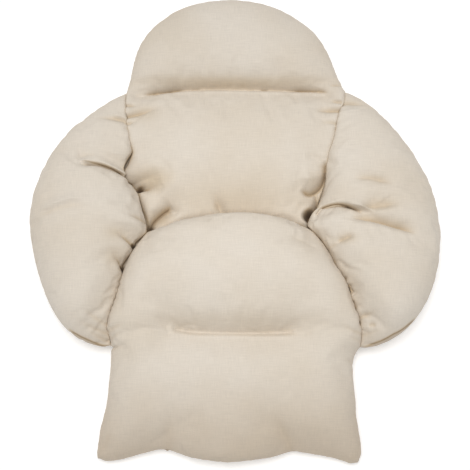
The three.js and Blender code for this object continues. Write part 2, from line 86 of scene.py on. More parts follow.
legEndRim = [
    (-344, -612, 20), (-292, -608, 22), (-230, -595, 26), (-177, -587, 30), (-100, -602, 30), (-15, -607, 30),
    (80, -603, 30), (143, -589, 30), (200, -595, 26), (258, -605, 22), (308, -620, 20)]
# The channels that are sewn through the front of the pads
headStitching = [
    (-246, 343, 62), (-200, 352, 62), (-157, 358, 62), (-92, 362, 62), (0, 361, 62), (120, 359, 62),
    (200, 356, 62), (242, 349, 62)]
seatStitching = [
    (-163, -285, 96), (-127, -292, 96), (-89, -296, 96), (0, -297, 96), (89, -298, 96), (139, -296, 96),
    (156, -290, 96)]


def smoothLine(rows, perSpan=4):  # a Catmull-Rom curve through the rows, in metres
    p = np.array([list(row) + [0] * (3 - len(row)) for row in rows], float) * mm
    p = np.vstack([2 * p[0] - p[1], p, 2 * p[-1] - p[-2]])
    points = []
    for i in range(1, len(p) - 2):
        for t in np.arange(perSpan) / perSpan:
            points.append(0.5 * (2 * p[i] + (p[i + 1] - p[i - 1]) * t
                                 + (2 * p[i - 1] - 5 * p[i] + 4 * p[i + 1] - p[i + 2]) * t ** 2
                                 + (3 * p[i] - p[i - 1] - 3 * p[i + 1] + p[i + 2]) * t ** 3))
    return np.array(points + [p[-2]])


def lengthsAlong(curve):  # how far along the curve each of its points is
    return np.concatenate([[0], np.cumsum(np.linalg.norm(np.diff(curve, axis=0), axis=1))])


# Where points lie beside a line: the distance, the share of the line's length, the side (1 is its
# left hand in plan, -1 its right), the direction to its left hand and the height of the line there.
# Points outside the line's box, widened by reach, are left at a distance of a metre.
def besideLine(points, line, reach=0.08, flat=False):
    if not isinstance(line, np.ndarray):  # the rows of a table
        line = smoothLine(line)
    count, dims = len(points), 2 if flat else 3
    near = SimpleNamespace(gap=np.ones(count), share=np.zeros(count), side=np.ones(count),
                           left=np.zeros((count, 2)), height=np.zeros(count))
    lengths = np.linalg.norm(np.diff(line[:, :dims], axis=0), axis=1)
    starts = np.concatenate([[0], np.cumsum(lengths)])
    near.length = starts[-1]
    low, high = line[:, :2].min(axis=0) - reach, line[:, :2].max(axis=0) + reach
    picked = np.nonzero(((points[:, :2] > low) & (points[:, :2] < high)).all(axis=1))[0]
    for i in range(len(line) - 1):
        a, d = line[i], line[i + 1] - line[i]
        off = points[picked] - a
        t = np.clip((off[:, :dims] @ d[:dims]) / max(d[:dims] @ d[:dims], 1e-12), 0, 1)
        gap = np.linalg.norm(off[:, :dims] - t[:, None] * d[:dims], axis=1)
        better = gap < near.gap[picked]
        where, t = picked[better], t[better]
        near.gap[where] = gap[better]
        near.share[where] = (starts[i] + t * lengths[i]) / near.length
        near.side[where] = np.where(d[0] * off[better, 1] - d[1] * off[better, 0] >= 0, 1, -1)
        near.left[where] = np.array([-d[1], d[0]]) / max(np.hypot(d[0], d[1]), 1e-9)
        near.height[where] = a[2] + t * d[2]
    return near


def getPlaces(piece, layer="co"):
    values = np.zeros(len(piece.data.vertices) * 3)
    piece.data.vertices.foreach_get(layer, values)
    return values.reshape(-1, 3)


def getShape(piece):  # where the points are, and which way each faces
    return getPlaces(piece), getPlaces(piece, "normal")


def setPlaces(piece, places):
    places[:, 2] = np.maximum(places[:, 2], 0)
    piece.data.vertices.foreach_set("co", places.ravel())
    piece.data.update()


def pickOnly(piece):
    bpy.ops.object.select_all(action="DESELECT")
    piece.select_set(True)
    bpy.context.view_layer.objects.active = piece


def setMode(mode):
    bpy.ops.object.mode_set(mode=mode)


def applyModifier(piece, kind, **values):
    pickOnly(piece)
    modifier = piece.modifiers.new(kind.lower(), kind)
    for key, value in values.items():
        setattr(modifier, key, value)
    bpy.ops.object.modifier_apply(modifier=modifier.name)


def addObject(name, data):
    made = bpy.data.objects.new(name, data)
    scene.collection.objects.link(made)
    return made


def copyNode(node, name):
    piece = addObject(name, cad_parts[node].data.copy())
    pickOnly(piece)
    setMode("EDIT")
    bpy.ops.mesh.select_all(action="SELECT")
    bpy.ops.mesh.remove_doubles(threshold=0.05 * mm)
    setMode("OBJECT")
    return piece


def treeOf(piece):
    mesh = piece.data
    return BVHTree.FromPolygons([v.co[:] for v in mesh.vertices], [p.vertices[:] for p in mesh.polygons])


def fade(distance, full, gone):  # 1 up to full, 0 from gone on
    t = np.clip((distance - full) / (gone - full), 0, 1)
    return 1 - t * t * (3 - 2 * t)


def upperSide(normals):  # 1 on the front, 0 on the underside
    return np.clip(normals[:, 2] * 2 + 0.6, 0, 1)


def softSpot(places, x, y, reachX, reachY):  # 1 at x and y in mm, fading on all sides
    off = ((places[:, 0] / mm - x) / reachX) ** 2 + ((places[:, 1] / mm - y) / reachY) ** 2
    return np.exp(-off)


# How deep a fold is along its length. It starts at a seam, but a wrinkle fades at both ends. Full
# is the share of its length over which it keeps its whole depth, and start the share over which
# it grows to it.
def foldEnds(fold, share):
    full = fold.get("full", 0.25)
    if "wrinkle" in fold:
        return fade(np.abs(2 * share - 1), full, 1)
    if "start" in fold:
        return fade(share, full, 1) * (1 - fade(share, 0, fold["start"]))
    return fade(share, full, 1)


def centreSide(piece, line):  # the side of a line on which the pad lies
    return besideLine(getPlaces(piece).mean(axis=0, keepdims=True), line, 2, flat=True).side[0]


def selectFaces(piece, chosen):  # selects the faces that have all their points among the chosen
    mesh = piece.data
    corners = np.zeros(len(mesh.loops), int)
    mesh.loops.foreach_get("vertex_index", corners)
    starts = np.zeros(len(mesh.polygons), int)
    mesh.polygons.foreach_get("loop_start", starts)
    faces = np.logical_and.reduceat(chosen[corners], starts)
    pickOnly(piece)
    setMode("EDIT")
    bpy.ops.mesh.select_mode(type="FACE")
    bpy.ops.mesh.select_all(action="DESELECT")
    setMode("OBJECT")
    mesh.polygons.foreach_set("select", faces)
    setMode("EDIT")


# What keeps its place while the pad is filled: the seams, the stitches, the creases, the side
# that is pressed against the next pad and the face that lies on the floor
def pinned(piece, pad):
    places, normals = getShape(piece)
    pin = np.where(places[:, 2] < 1.5 * mm, 1.0, 0.0)
    for name, tree in cadTrees.items():
        if name != pad["node"]:
            gap = np.array([tree.find_nearest(p, 0.02)[3] or 0.02 for p in places])
            pin = np.maximum(pin, fade(gap, 2.5 * mm, 9 * mm))
    for rim in pad["rims"]:
        pin = np.maximum(pin, fade(besideLine(places, rim["line"], 0.02).gap, 4 * mm, 10 * mm))
    upper = normals[:, 2] > -0.2
    for channel in pad["channels"]:
        gap = besideLine(places, channel["line"], 0.02, flat=True).gap
        pin = np.maximum(pin, fade(gap, 4 * mm, 12 * mm) * upper)
    for fold in pad["folds"]:
        if fold["depth"] > 10:
            gap = besideLine(places, fold["through"], 0.02, flat=True).gap
            pin = np.maximum(pin, 0.8 * fade(gap, 3 * mm, 10 * mm) * upper)
    return pin


clothSettings = {
    "grain": 6,         # size of the simulated mesh, mm
    "quality": 5,
    "stretch": 15,
    "shear": 5,
    "bending": 3,
    "pressure": 4,
    "frames": 20,
    "swellLimit": 14,   # about as far as a point may move, mm
}


def addCloth(piece, pad):
    strength = np.round(pinned(piece, pad) * 10).astype(int)
    group = piece.vertex_groups.new(name="sewn")
    for level in range(1, 11):
        group.add(np.nonzero(strength == level)[0].tolist(), level / 10, "REPLACE")
    cloth = piece.modifiers.new("cloth", "CLOTH")
    settings = cloth.settings
    settings.quality = clothSettings["quality"]
    settings.tension_stiffness = clothSettings["stretch"]
    settings.compression_stiffness = clothSettings["stretch"]
    settings.shear_stiffness = clothSettings["shear"]
    settings.bending_stiffness = clothSettings["bending"]
    settings.shrink_min = -pad["spareCloth"]
    settings.use_pressure = True
    settings.uniform_pressure_force = clothSettings["pressure"]
    settings.effector_weights.gravity = 0
    settings.vertex_group_mass = "sewn"
    cloth.collision_settings.use_collision = False
    cloth.point_cache.frame_start = 1
    cloth.point_cache.frame_end = clothSettings["frames"]


def settleCloth(piece):
    before = getPlaces(piece)
    pickOnly(piece)
    bpy.ops.object.modifier_apply(modifier="cloth")
    move = getPlaces(piece) - before
    length = np.linalg.norm(move, axis=1)
    limit = clothSettings["swellLimit"] * mm
    move *= (limit * np.tanh(length / limit) / np.maximum(length, 1e-9))[:, None]
    setPlaces(piece, before + move)
    piece.vertex_groups.clear()
    report(f"{piece.name} filled: cloth moved by at most {length.max() / mm:.1f} mm")


def thinUnderside(piece, share=0.15):  # the face on the floor is flat, so it needs few faces
    selectFaces(piece, getPlaces(piece)[:, 2] < 0.8 * mm)
    bpy.ops.mesh.decimate(ratio=share)
    setMode("OBJECT")


def refineCreases(piece, pad, reach=13):  # smaller faces beside the seams and in the deep folds
    places = getPlaces(piece)
    close = np.zeros(len(places), bool)
    for seam in pad["seams"]:
        close |= besideLine(places, seam["line"], 0.02).gap < reach * mm
    for fold in pad["folds"]:
        if fold["depth"] >= 9:
            close |= besideLine(places, fold["through"], 0.02, flat=True).gap < reach * mm
    for x, y, reachX, reachY, turn, depth in pad["pits"]:
        close |= np.hypot(places[:, 0] - x * mm, places[:, 1] - y * mm) < 1.6 * max(reachX, reachY) * mm
    selectFaces(piece, close & (places[:, 2] > 30 * mm))
    bpy.ops.mesh.subdivide(number_cuts=1, quadcorner="INNERVERT")
    setMode("OBJECT")


def blur(values, reach):  # a soft average over reach neighbours each way that keeps both ends in place
    ends = [2 * values[0] - values[reach:0:-1], values, 2 * values[-1] - values[-2:-reach - 2:-1]]
    weights = np.exp(-(np.arange(-reach, reach + 1) * 2 / reach) ** 2)
    columns = np.concatenate(ends).T
    return np.array([np.convolve(column, weights / weights.sum(), "valid") for column in columns]).T


outlineStep = 4  # between two points of an outline, mm


def evenLine(rim):  # a line along the rim with its small wobbles evened out
    curve = smoothLine(rim["line"], 12)
    along = lengthsAlong(curve)
    spots = np.linspace(0, along[-1], int(along[-1] / (outlineStep * mm)))
    curve = np.array([np.interp(spots, along, curve[:, axis]) for axis in range(3)]).T
    reach = int(rim["window"] / outlineStep)
    soft = blur(curve, reach)
    return soft + blur(curve - soft, reach)


# Brings the outline to its line along a rim. Proud says how far outside the rim it lies, in mm.
def setOutline(piece, rim):
    places = getPlaces(piece)
    curve = evenLine(rim)
    near = besideLine(places, curve, 0.06, flat=True)
    own = centreSide(piece, curve)
    out = -own * near.side * near.gap
    count = int(near.length / (outlineStep * mm))
    bins = np.minimum((near.share * count).astype(int), count - 1)
    extent = np.full(count, -1.0)
    picked = (np.abs(places[:, 2] - near.height) < 30 * mm) & (near.gap < 24 * mm)
    np.maximum.at(extent, bins[picked], out[picked])
    known = np.nonzero(extent > -0.5)[0]
    extent = np.interp(np.arange(count), known, extent[known])
    extent = blur(extent[:, None], 4)[:, 0]
    proud = np.array(rim["proud"], float)
    wanted = np.interp(near.share, proud[:, 0], proud[:, 1]) * mm
    shift = wanted - np.interp(near.share * count - 0.5, np.arange(count), extent)
    shift *= fade(near.gap, 8 * mm, 50 * mm) * fade(np.abs(2 * near.share - 1), 0.94, 1)
    places[:, :2] -= near.left * (own * shift)[:, None]
    setPlaces(piece, places)


# Pulls the cloth out to the corners, which the filling has rounded: x, y, z, reach and strength
def drawTips(piece, tips):
    places = getPlaces(piece)
    for x, y, z, reach, pull in tips:
        way = np.array([x, y, z]) * mm - places
        distance = np.linalg.norm(way * (1, 1, 0.6), axis=1)
        amount = pull * np.clip(1 - distance / (reach * mm), 0, 1) ** 2
        places[:, :2] += way[:, :2] * amount[:, None]
    setPlaces(piece, places)


# Steep hollows where several folds meet: x, y, their reach in both directions, turn and depth
def sinkPits(piece, pits):
    places, normals = getShape(piece)
    for x, y, reachX, reachY, turn, depth in pits:
        c, s = math.cos(math.radians(turn)), math.sin(math.radians(turn))
        off = places[:, :2] / mm - (x, y)
        along, across = (off @ (c, s)) / reachX, (off @ (-s, c)) / reachY
        places[:, 2] -= depth * mm * np.exp(-(along ** 2 + across ** 2) ** 1.5) * (normals[:, 2] > -0.3)
    setPlaces(piece, places)


# Fuller or flatter places: x, y, their reach in both directions and the height, in mm
def shapeSwells(piece, swells):
    places, normals = getShape(piece)
    for *spot, height in swells:
        places[:, 2] += height * mm * softSpot(places, *spot) * upperSide(normals)
    setPlaces(piece, places)


# Presses the folds of a table into the front cloth. Where a fold has a lap, the cloth on its
# steeper side bulges (ridge) and hangs over the crease.
def layFolds(piece, folds):
    places, normals = getShape(piece)
    upper = upperSide(normals)
    for fold in folds:
        near = besideLine(places, fold["through"], 0.1, flat=True)
        left, right = fold["left"] * mm, fold["right"] * mm
        press = foldEnds(fold, near.share) * upper
        width = np.where(near.side > 0, left, right)
        places[:, 2] -= fold["depth"] * mm * press * np.exp(-(near.gap / width) ** 1.5)
        reach = near.gap / min(left, right)
        lobe = near.side == (1 if left < right else -1)
        rise = np.exp(-((reach - 2) / 1.4) ** 2)
        places[:, 2] += fold.get("ridge", 0) * mm * press * lobe * rise
        lap = fold.get("lap", 0) * mm * press * lobe * reach * np.exp(1 - reach)
        places[:, :2] -= near.left * (near.side * lap)[:, None]
    setPlaces(piece, places)


# Draws the front down to the stitches of a channel
def sewChannel(piece, channel):
    places, normals = getShape(piece)
    near = besideLine(places, channel["line"], 0.1, flat=True)
    ends = fade(np.abs(near.share - 0.5), 0.5 - channel["fadeIn"] * mm / near.length, 0.505)
    width = np.where(near.side > 0, channel["above"], channel["below"]) * mm
    press = ends * upperSide(normals) * mm
    places[:, 2] -= channel["depth"] * press * np.exp(-(near.gap / width) ** 1.3)
    lip = (near.side < 0) * np.exp(-((near.gap / mm - 9) / 6) ** 2)
    places[:, 2] += channel["lip"] * press * lip
    setPlaces(piece, places)


# Small puckers that run out from a line, between two shares of its length. Each has its own
# place, and more or less than the given reach, width and depth.
def gatherSeam(piece, rng, line, perMetre, reach, width, depth, first, last):
    places, normals = getShape(piece)
    near = besideLine(places, line, 0.12)
    picked = np.nonzero(near.gap < 0.12)[0]
    gap, along = near.gap[picked], near.share[picked] * near.length
    start, end = first * near.length, last * near.length
    height = np.zeros(len(picked))
    for _ in range(int(perMetre * (end - start))):
        spot = rng.uniform(start, end)
        far = rng.uniform(0.4, 1.3) * reach * mm
        wide = rng.uniform(0.7, 1.4) * width * mm
        deep = rng.uniform(0.2, 1.2) * depth * mm
        slant = rng.uniform(-0.5, 0.5)
        off = (along - spot - slant * gap) / (wide * (1 + 0.6 * gap / far))
        height -= deep * np.exp(-off ** 2 - (gap / far) ** 1.4) * (1 - np.exp(-gap / (3 * mm)))
    places[picked] += normals[picked] * height[:, None]
    setPlaces(piece, places)


# The seam itself: a narrow groove where front and back cloth are joined
def sewRim(piece, curve, depth, width):
    places, normals = getShape(piece)
    near = besideLine(places, curve, 0.03)
    places -= normals * (depth * mm * np.exp(-(near.gap / (width * mm)) ** 2))[:, None]
    setPlaces(piece, places)


# Shapes the shoulder of a pad along the seam beside it
def lapSeam(piece, seam, rng):
    places = getPlaces(piece)
    curve = smoothLine(seam["line"], 8)
    near = besideLine(places, curve, 0.08)
    own = centreSide(piece, curve)
    rows = seam["rows"]
    lap, rise, spread, waver = (np.interp(near.share, rows[:, 0], rows[:, i]) * mm for i in (1, 3, 4, 5))
    wave = np.zeros(len(places))
    for _ in range(6):
        wave += np.sin(near.share * near.length / (rng.uniform(2.2, 7) * mm) + rng.uniform(0, 6.3)) / 2.4
    lap += waver * wave
    lap *= fade(near.gap, 2 * mm, 40 * mm) * fade(near.height - places[:, 2], 6 * mm, 22 * mm)
    places[:, :2] -= near.left * (own * lap)[:, None]
    across = besideLine(places, curve, 0.08, flat=True).gap
    places[:, 2] += rise * np.exp(-(across / spread) ** 2) * (1 - fade(places[:, 2], 22 * mm, 50 * mm))
    setPlaces(piece, places)


# Keeps a pad out of the ones that are already made, so that they only touch along their seam
def keepClear(piece, clearance=0.15):
    places = getPlaces(piece)
    moved = 0
    for tree, low, high in madeTrees:
        for i in np.nonzero(((places > low) & (places < high)).all(axis=1))[0]:
            spot, normal, index, gap = tree.find_nearest(places[i], 0.03)
            if spot is not None and (Vector(places[i]) - spot) @ normal < clearance * mm:
                places[i] = spot + normal * clearance * mm
                moved += 1
    setPlaces(piece, places)
    return moved


# Painted shade for each point: darker along the rims and towards the foot end, where shade falls. And how
# deep in a crease it is, for painted crease shade, up to a half on the slopes and from there to 1 down in the
# gaps.
def markPaintedShade(piece, pad):
    places = getPlaces(piece)
    rimAndFootShade = np.zeros(len(places))
    # painted shade along the rims, where the cloth turns away from the light
    for rim in pad["rims"]:
        rimAndFootShade = np.maximum(rimAndFootShade, 0.6 * np.exp(-besideLine(places, rim["line"], 0.12).gap / 0.03))
    # painted shade: darker towards the foot end, where less light falls
    rimAndFootShade += 0.75 * (1 - fade(-places[:, 1], 0.36, 0.60)) * (places[:, 1] < 0)
    creaseShade = np.zeros(len(places))
    # painted shade in broad patches
    for *spot, amount in pad["shadePatches"]:
        creaseShade = np.maximum(creaseShade, amount * softSpot(places, *spot))
    # painted shade down in the seams
    for seam in pad["seams"]:
        near = besideLine(places, seam["line"], 0.04)
        dark = np.interp(near.share, seam["rows"][:, 0], seam["rows"][:, 2])
        creaseShade = np.maximum(creaseShade, dark * np.exp(-(near.gap / ((2.5 + 4.5 * dark) * mm)) ** 1.5))
    # painted shade just above the channels
    for channel in pad["channels"]:
        near = besideLine(places, channel["line"], 0.04, flat=True)
        ends = fade(np.abs(2 * near.share - 1), 0.9, 1) * (near.side > 0)
        creaseShade = np.maximum(creaseShade, channel["dark"] * ends * np.exp(-(near.gap / (5 * mm)) ** 1.5))
    # painted shade down in the folds
    for fold in pad["folds"]:
        near = besideLine(places, fold["through"], 0.06, flat=True)
        left, right = fold["left"], fold["right"]
        width = np.where(near.side > 0, left, right)
        deep = fold.get("dark", min(0.8, 0.19 * max(0, fold["depth"]) / min(left, right)))
        deep = deep * foldEnds(fold, near.share)
        creaseShade = np.maximum(creaseShade, deep * np.exp(-(near.gap / (0.7 * width * mm)) ** 1.5))
    # painted shade, darkest in the pits
    for x, y, reachX, reachY, turn, depth in pad["pits"]:
        off = np.hypot(places[:, 0] / mm - x, places[:, 1] / mm - y) / max(reachX, reachY)
        creaseShade = np.maximum(creaseShade, np.exp(-off ** 4))
    # painted shade: a dark line at the hem, and the strip beyond it darker, as the underside in shadow
    for hem in pad["hems"]:
        near = besideLine(places, hem, 0.04, flat=True)
        beyond = near.side != centreSide(piece, hem)
        ends = fade(np.abs(2 * near.share - 1), 0.6, 1)
        line = 0.8 * np.exp(-(near.gap / (2.4 * mm)) ** 2)
        above = 1 - fade(places[:, 2], 46 * mm, 62 * mm)  # not on the side below the rim
        creaseShade = np.maximum(creaseShade, line * ends * above)
        rimAndFootShade = np.maximum(rimAndFootShade, beyond * ends * fade(near.gap, 12 * mm, 20 * mm))
    for name, values in (("rimAndFootShade", rimAndFootShade), ("crease", creaseShade)):
        layer = piece.data.attributes.new(name, "FLOAT", "POINT")
        layer.data.foreach_set("value", np.clip(values, 0, 1))


# A fold's depth (below 0 it is a ridge), its widths on its left and right hand, and the points
# that it runs through, from the seam outwards. All in mm.
def crease(depth, left, right, *through, **more):
    return {"depth": depth, "left": left, "right": right, "through": through, **more}


def wrinkle(*values, **more):  # a fold that fades at both ends
    return crease(*values, wrinkle=True, **more)


# The shoulder of a pad along a seam. A row gives the share of the seam's length, how far the
# shoulder comes over the seam (below 0: draws back), how dark the painted shade down in the seam is,
# from 0 to 1, how much higher or lower the shoulder stands, how far from the seam that reaches and how
# much its edge wavers, in mm. The last three may be left out.
def shoulder(line, *rows):
    return {"line": line, "rows": np.array([row + (0, 20, 0)[len(row) - 3:] for row in rows], float)}


# Rims: proud is a row of shares of the length and how far the cloth stands out there.
# Gathers: line, puckers in a metre, their reach, width and depth, first and last share of the line.
# Shade patches are painted shade: x, y, their reach in both directions and how much shade they add.
seatPad = {
    "node": "seat_and_leg_rest", "slot": "cover_seat", "spareCloth": 0.012, "fill": 0.75,
    "rims": [
        {"line": leftLegRim, "window": 32,
         "proud": [(0, 1), (0.5, 0), (0.62, 1), (0.74, 2), (0.82, -1), (0.89, -4), (1, 0)]},
        {"line": rightLegRim, "window": 24,
         "proud": [(0, 1), (0.3, -1), (0.45, -1), (0.6, -4), (0.8, 1), (1, 2)]},
        {"line": legEndRim, "window": 16,
         "proud": [(0, 5), (0.1, 3), (0.2, 0), (0.27, 0), (0.36, 6), (0.5, 12), (0.64, 5), (0.75, 3),
                   (0.9, 4), (1, 6)]},
    ],
    "tips": [(-350, -611, 20, 38, 0.85), (308, -623, 20, 34, 0.9),
             (-317, -325, 45, 36, 0.8), (319, -329, 45, 36, 0.8)],
    "seams": [
        shoulder(backSeatValley, (0, 2, 0.9), (0.1, 5, 0.6), (0.9, 5, 0.6), (1, 2, 0.9)),
        shoulder(leftSeatValley, (0, 2, 0.9), (0.4, 2, 0.9), (0.46, 1, 0.4, 6, 26, 0.9),
                 (0.85, 2, 0.4, 9, 26, 0.7), (1, 2, 0.4, 4, 20, 0.2)),
        shoulder(rightSeatValley, (0, 2, 0.9), (0.26, 3, 0.8), (0.3, -1, 0.7, 2, 22, 0.5),
                 (0.8, 0, 0.5, 8, 26, 1.2), (0.9, 2, 0.3, 10, 26, 0.2), (1, 2, 0.3, 4, 20, 0.2)),
    ],
    "shadePatches": [(0, -270, 170, 22, 0.12)],
    "channels": [{"line": seatStitching, "depth": 9, "above": 10, "below": 4, "lip": 2, "fadeIn": 30,
                  "dark": 0.08}],
    "hems": [], "pits": [],
    "swells": [(0, -256, 150, 34, 7), (0, -60, 150, 60, -7), (-240, -310, 60, 40, 8), (240, -310, 60, 40, 8),
               (0, -400, 220, 60, 4)],
    "gathers": [
        (leftSeatValley, 30, 26, 5, 2, 0.5, 1),
        (rightSeatValley, 30, 26, 5, 2, 0.6, 1),
        (seatStitching, 40, 16, 5, 1.2, 0, 1),
        (legEndRim, 16, 26, 8, 0.7, 0, 1),
        (leftLegRim, 16, 20, 8, 0.7, 0, 1),
        (rightLegRim, 20, 22, 7, 1, 0, 1),
    ],
    "folds": [
        wrinkle(3, 8, 9, (129, -51), (180, -75), (231, -96)),
        crease(8, 8, 8, (-326, -293), (-299, -285), (-270, -275)),
        crease(5, 7, 7, (-320, -312), (-300, -304), (-276, -300)),
        crease(6, 7, 8, (322, -299), (292, -292), (258, -276)),
        crease(4, 7, 7, (318, -316), (300, -312), (278, -308)),
        crease(5, 9, 9, (304, -372), (288, -366), (266, -362)),
        crease(7, 16, 22, (-172, -590), (-162, -528), (-148, -470)),
        crease(8, 20, 14, (143, -592), (118, -540), (73, -480)),
        wrinkle(3, 9, 9, (-340, -590), (-320, -568), (-312, -540)),
        wrinkle(3, 5, 5, (-152, -284), (-118, -278), (-84, -282)),
    ],
}
leftArm = {
    "node": "arm_left", "slot": "cover_arm_left", "spareCloth": 0.016, "fill": 0.8,
    "rims": [{"line": leftArmRim, "window": 120,
              "proud": [(0, 2), (0.08, -6), (0.14, -5), (0.2, -3), (0.27, -6), (0.36, -4), (0.62, -4),
                        (0.75, -1), (0.86, 0), (1, 5)]}],
    "tips": [(-289, 352, 46, 45, 0.85), (-317, -325, 45, 36, 0.7)],
    "seams": [
        shoulder(leftBackValley, (0, 2, 0.3, 6, 24, 0.3), (0.12, 3, 0.3, 14, 30, 0.4),
                 (0.38, 3, 0.3, 14, 30, 0.4), (0.45, 0, 0.9, 8, 24), (0.53, -12, 1, 2), (0.585, -22, 1),
                 (0.615, -22, 1), (0.65, -4, 0.9), (0.69, 3, 0.9), (0.76, 7, 0.9), (0.86, 3, 0.9), (1, 2, 1)),
        shoulder(leftSeatValley, (0, 0, 1), (0.12, -6, 1), (0.21, 0, 0.9), (0.33, -8, 1),
                 (0.42, 0, 0.7, 0, 20, 0.3), (0.48, 2, 0.4, 6, 26, 1), (0.85, 2, 0.4, 9, 26, 0.8),
                 (1, 2, 0.4, 4, 20, 0.2)),
    ],
    "shadePatches": [(-300, -50, 26, 18, 0.2), (-306, -112, 22, 22, 0.2)],
    "channels": [],
    "hems": [[(-427, -283), (-406, -296), (-388, -305), (-353, -318), (-319, -322)]],
    "pits": [(-262, -74, 7, 5, 45, 18), (-288, -133, 8, 5, 60, 20)],
    "swells": [(-430, -230, 90, 70, 8), (-400, -262, 90, 44, 10), (-350, 0, 70, 110, 4)],
    "gathers": [
        (leftBackValley, 26, 28, 6, 2, 0, 0.45),
        (leftSeatValley, 44, 26, 5, 2.6, 0.4, 1),
        (leftArmRim, 60, 34, 5, 1.8, 0.86, 1),
        (leftArmRim, 12, 26, 8, 0.6, 0, 0.8),
    ],
    "folds": [
        crease(-32, 6, 28, (-284, 116), (-313, 126), (-344, 134), (-377, 141), (-412, 146), full=0.7),
        crease(34, 4.5, 5, (-270, 88), (-290, 101), (-320, 115), (-344, 122), (-373, 128), (-404, 132),
               lap=14, ridge=4, full=0.55, start=0.14),
        crease(10, 2.6, 3, (-276, 104), (-295, 115), (-320, 126), (-349, 134), (-377, 139), (-404, 143),
               full=0.5, dark=1),
        crease(12, 7, 10, (-286, 256), (-300, 262), (-330, 268), (-376, 270)),
        crease(-5, 8, 8, (-287, 268), (-310, 276), (-350, 282)),
        wrinkle(4, 8, 8, (-412, 160), (-385, 158), (-350, 160)),
        wrinkle(-9, 11, 7, (-520, 2), (-471, 20), (-412, 35), (-360, 28)),
        wrinkle(4, 7, 12, (-520, -14), (-471, 5), (-412, 19), (-362, 14)),
        crease(14, 7, 9, (-228, -14), (-246, -8), (-276, 2), lap=3, ridge=3),
        crease(18, 5, 10, (-262, -80), (-278, -66), (-304, -44), lap=4, ridge=3),
        crease(16, 5, 10, (-285, -142), (-297, -122), (-312, -96), lap=4, ridge=3),
        crease(7, 6, 8, (-318, -300), (-356, -286), (-404, -268)),
        crease(7, 6, 7, (-316, -314), (-347, -302), (-382, -284)),
        crease(6, 7, 8, (-326, -276), (-352, -262), (-386, -240)),
    ],
}
rightArm = {
    "node": "arm_right", "slot": "cover_arm_right", "spareCloth": 0.016, "fill": 0.8,
    "rims": [{"line": rightArmRim, "window": 120,
              "proud": [(0, 3), (0.08, -5), (0.14, -7), (0.26, -7), (0.4, -6), (0.6, -6), (0.7, -4),
                        (0.9, -4), (1, 3)]}],
    "tips": [(293, 355, 46, 45, 0.85), (319, -329, 45, 36, 0.7)],
    "seams": [
        shoulder(rightBackValley, (0, 2, 0.3, 6, 24, 0.3), (0.1, 3, 0.3, 14, 30, 0.4),
                 (0.58, 3, 0.4, 14, 30, 0.4), (0.66, 1, 0.5, 8, 24), (0.76, -2, 0.6, 2), (0.84, 0, 0.7),
                 (0.9, 3, 1), (1, 1, 1)),
        shoulder(rightSeatValley, (0, -1, 1), (0.26, -1, 0.8, 0, 20, 0.3), (0.3, 4, 0.8, 2, 22, 0.5),
                 (0.5, 3, 0.7, 5, 24, 1.2), (0.8, 3, 0.5, 8, 26, 1.2), (0.9, 2, 0.3, 10, 26, 0.2),
                 (1, 2, 0.3, 4, 20, 0.2)),
    ],
    "shadePatches": [(284, -64, 24, 14, 0.28), (270, 52, 40, 44, 0.12), (372, 24, 40, 16, 0.26)],
    "channels": [],
    "hems": [[(321, -330), (350, -323), (378, -316), (422, -294), (453, -270), (474, -252)]],
    "pits": [],
    "swells": [(430, -220, 90, 80, 9), (400, -262, 90, 44, 11)],
    "gathers": [
        (rightBackValley, 26, 28, 6, 2, 0, 0.4),
        (rightSeatValley, 90, 24, 4, 2.8, 0.28, 0.88),
        (rightArmRim, 40, 30, 6, 1.4, 0.88, 1),
        (rightArmRim, 12, 26, 8, 0.6, 0, 0.8),
    ],
    "folds": [
        crease(-36, 30, 5, (208, 6), (233, 21), (266, 26), (310, 22), (362, 8), full=0.7),
        crease(34, 5, 4.5, (196, -20), (208, 5), (220, 18), (240, 22), (262, 23), (282, 21), (303, 14),
               (334, 4), lap=14, ridge=4, full=0.6),
        crease(12, 4, 3.5, (214, 11), (224, 25), (240, 29), (262, 30), (282, 26), (303, 18), (334, 7),
               full=0.6, dark=1),
        wrinkle(15, 16, 9, (306, 20), (375, 22), (425, 31)),
        crease(-8, 24, 26, (270, 8), (322, -13), (377, -34), (437, -55)),
        wrinkle(20, 18, 8, (286, -6), (354, -20), (400, -33), (470, -54), lap=5, ridge=4, full=0.4),
        wrinkle(10, 11, 8, (296, 96), (345, 96), (387, 85), (410, 75)),
        crease(11, 10, 7, (286, 312), (318, 316), (356, 316)),
        crease(-6, 6, 9, (272, 281), (310, 291), (350, 299)),
        wrinkle(14, 9, 7, (254, -72), (283, -62), (306, -55)),
        crease(7, 8, 8, (238, -84), (262, -72), (288, -66)),
        crease(9, 8, 7, (318, -258), (340, -251), (362, -247)),
        wrinkle(8, 6, 6, (338, -284), (347, -277), (357, -284)),
        crease(4, 6, 7, (322, -300), (350, -296), (384, -290)),
    ],
}
